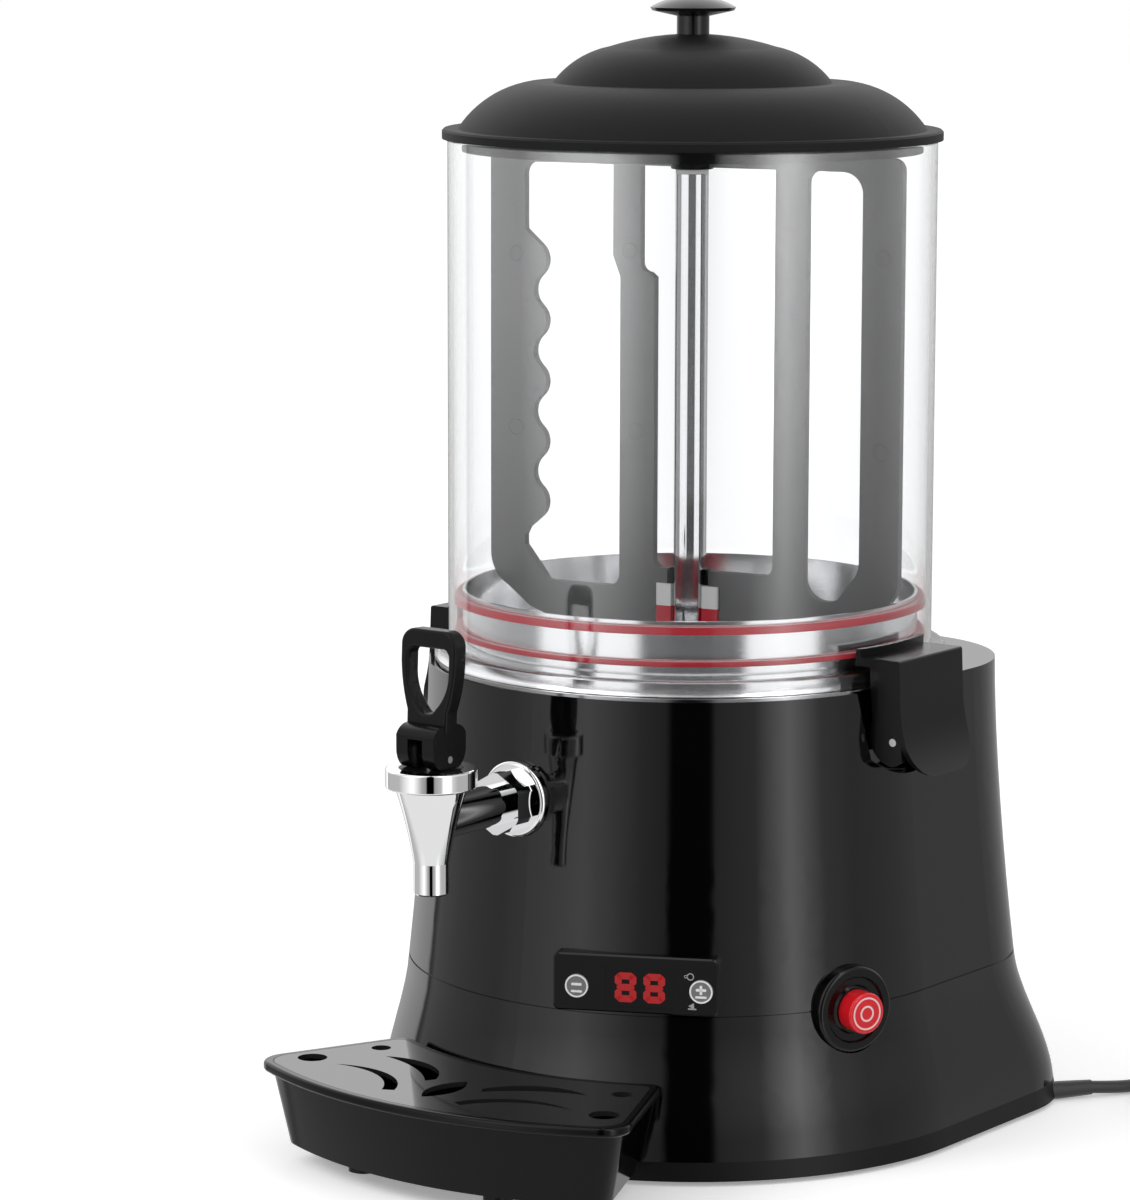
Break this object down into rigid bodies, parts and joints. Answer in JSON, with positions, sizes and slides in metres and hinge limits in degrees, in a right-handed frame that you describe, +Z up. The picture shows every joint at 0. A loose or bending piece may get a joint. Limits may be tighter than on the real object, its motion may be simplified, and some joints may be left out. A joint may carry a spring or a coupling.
{
  "type": "hot chocolate dispenser",
  "caption": "Table-top hot drink dispenser: black housing with heated bath, clear lidded bowl with a turning paddle, front lever tap and drip tray.",
  "frame": {"origin": "middle of the footprint, on the surface that the feet stand on", "axes": "+Z up, -Y towards the tap and the drip tray, +X to the right seen from the front"},
  "size_m": [0.4642, 0.4652, 0.58],
  "materials": {
    "body_gloss": "glossy black moulded plastic",
    "pan_black": "satin black moulded plastic",
    "foot_rubber": "matte black rubber",
    "steel": "satin stainless steel",
    "chrome": "bright chrome plate",
    "clear": "clear polycarbonate",
    "red_silicone": "red silicone",
    "lid_black": "fine-grained matte black",
    "black_trim": "black moulded plastic",
    "paddle_grey": "satin grey moulded plastic",
    "white_plastic": "white low-friction plastic",
    "motor_grey": "grey painted metal",
    "board_green": "green circuit board",
    "lens_dark": "dark smoked window",
    "button_silver": "silver satin",
    "switch_red": "translucent red",
    "grid_black": "semi-gloss black moulded plastic",
    "cord_black": "black flexible sheath"
  },
  "bodies": {
    "housing": {"base_pan": "pan_black", "rubber_feet": "foot_rubber", "base_screws": "steel", "base_skirt": "body_gloss", "upper_shell": "body_gloss", "vessel": "steel", "bath_tank": "steel", "outlet_sump": "steel", "heater_element": "steel", "thermostat": "motor_grey", "bowl": "clear", "bowl_gasket": "red_silicone", "standpipe": "steel", "shaft_bushes": "white_plastic", "gearbox": "motor_grey", "mixer_motor": "motor_grey", "motor_bracket": "steel", "terminal_block": "white_plastic", "tap_body": "chrome", "tap_flange": "chrome", "tap_nut": "chrome", "tap_gasket": "red_silicone", "tap_collar": "chrome", "tap_bonnet": "black_trim", "latch_pins": "steel", "latch_brackets": "black_trim", "panel_bezel": "black_trim", "display_lens": "lens_dark", "control_board": "board_green", "switch_bezel": "black_trim", "cord_gland": "cord_black", "power_cord": "cord_black", "cord_coil": "cord_black", "power_plug": "cord_black"},
    "lid": {"lid_shell": "lid_black", "lid_knob": "lid_black", "lid_screw": "steel"},
    "mixer": {"drive_shaft": "steel", "paddle": "paddle_grey", "paddle_hub": "black_trim", "paddle_nut": "black_trim", "paddle_bush": "black_trim", "guide_blocks": "white_plastic", "wiper_tips": "red_silicone"},
    "plunger": {"tap_stem": "chrome", "tap_pin": "chrome", "tap_seal": "red_silicone", "tap_spring": "steel"},
    "lever": {"tap_handle": "black_trim"},
    "right_latch": {"latch_right": "body_gloss"},
    "left_latch": {"latch_left": "body_gloss"},
    "tray": {"drip_tray": "body_gloss"},
    "grid": {"drip_grid": "grid_black"},
    "left_button": {"button_left": "button_silver"},
    "right_button": {"button_right": "button_silver"},
    "power_button": {"switch_button": "switch_red"}
  },
  "joints": [
    {"name": "lid_lift", "type": "slide", "parent": "housing", "child": "lid", "axis": [0, 0, 1], "range_m": [0, 0.12]},
    {"name": "mixer_turn", "type": "hinge", "parent": "housing", "child": "mixer", "pos_m": [0, 0.044, 0.25], "axis": [0, 0, 1], "continuous": true},
    {"name": "plunger_lift", "type": "slide", "parent": "housing", "child": "plunger", "axis": [0, 0, 1], "range_m": [0, 0.00578], "stiffness_N_per_m": 300, "springref_m": -0.004, "deforming": ["tap_spring"]},
    {"name": "handle_pull", "type": "hinge", "parent": "plunger", "child": "lever", "pos_m": [-0.008, -0.163, 0.216], "axis": [1, 0, 0], "range_deg": [0, 65]},
    {"name": "right_latch_open", "type": "hinge", "parent": "housing", "child": "right_latch", "pos_m": [0.1448, 0.044, 0.2138], "axis": [0, 1, 0], "range_deg": [0, 42]},
    {"name": "left_latch_open", "type": "hinge", "parent": "housing", "child": "left_latch", "pos_m": [-0.1448, 0.044, 0.2138], "axis": [0, -1, 0], "range_deg": [0, 42]},
    {"name": "tray_pull", "type": "slide", "parent": "housing", "child": "tray", "axis": [0, -1, 0], "range_m": [0, 0.1]},
    {"name": "grid_lift", "type": "slide", "parent": "tray", "child": "grid", "axis": [0, 0, 1], "range_m": [0, 0.04]},
    {"name": "left_button_press", "type": "slide", "parent": "housing", "child": "left_button", "axis": [-0.4226, 0.9063, 0], "range_m": [0, 0.0012], "stiffness_N_per_m": 400},
    {"name": "right_button_press", "type": "slide", "parent": "housing", "child": "right_button", "axis": [-0.4226, 0.9063, 0], "range_m": [0, 0.0012], "stiffness_N_per_m": 400},
    {"name": "power_button_press", "type": "slide", "parent": "housing", "child": "power_button", "axis": [-0.9336, 0.3584, 0], "range_m": [0, 0.003], "stiffness_N_per_m": 500}
  ],
  "couplings": [
    {"joint": "handle_pull", "follows": "plunger_lift", "rad_per_m": 196.08}
  ]
}
